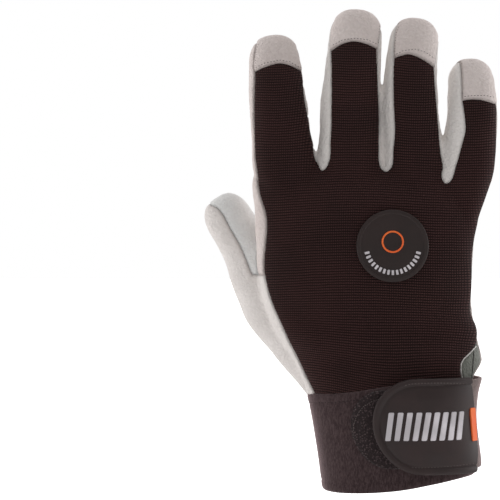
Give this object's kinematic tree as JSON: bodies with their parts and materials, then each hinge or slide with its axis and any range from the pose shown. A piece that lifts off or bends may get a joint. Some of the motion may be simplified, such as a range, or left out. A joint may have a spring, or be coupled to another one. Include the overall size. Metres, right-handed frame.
{
  "type": "anti vibration work glove, right hand",
  "caption": "Work glove shown as worn: pale leather palm, thumb and fingertips, black ribbed knit back with a round rubber badge, elastic cuff and a strap with a rubber tab",
  "frame": {"origin": "middle of the wrist opening, at the level of the hem's lowest edge", "axes": "+Z from the wrist to the fingertips, +X to the little finger's side, -Y out of the back of the hand, +Y out of the palm"},
  "size_m": [0.1469, 0.0638, 0.2412],
  "materials": {
    "palm_leather": "matte, fine pebbled grain",
    "grey_leather": "matte, fine pebbled grain",
    "back_knit": "ribbed stretch knit",
    "cuff_elastic": "matte, finely brushed",
    "strap_web": "matte woven",
    "fastening": "rough pile",
    "rubber": "satin"
  },
  "bodies": {
    "root": {"palm_panel": "palm_leather", "thumb": "palm_leather", "thumb_inner": "grey_leather", "gusset_index_middle": "palm_leather", "gusset_middle_ring": "palm_leather", "gusset_ring_little": "palm_leather", "cap_index": "palm_leather", "cap_middle": "palm_leather", "cap_ring": "palm_leather", "cap_little": "palm_leather", "back_panel": "back_knit", "side_gusset": "grey_leather", "badge": "rubber", "cuff": "cuff_elastic", "loop_pad": "fastening", "strap": "strap_web", "strap_tab": "rubber"}
  },
  "joints": []
}
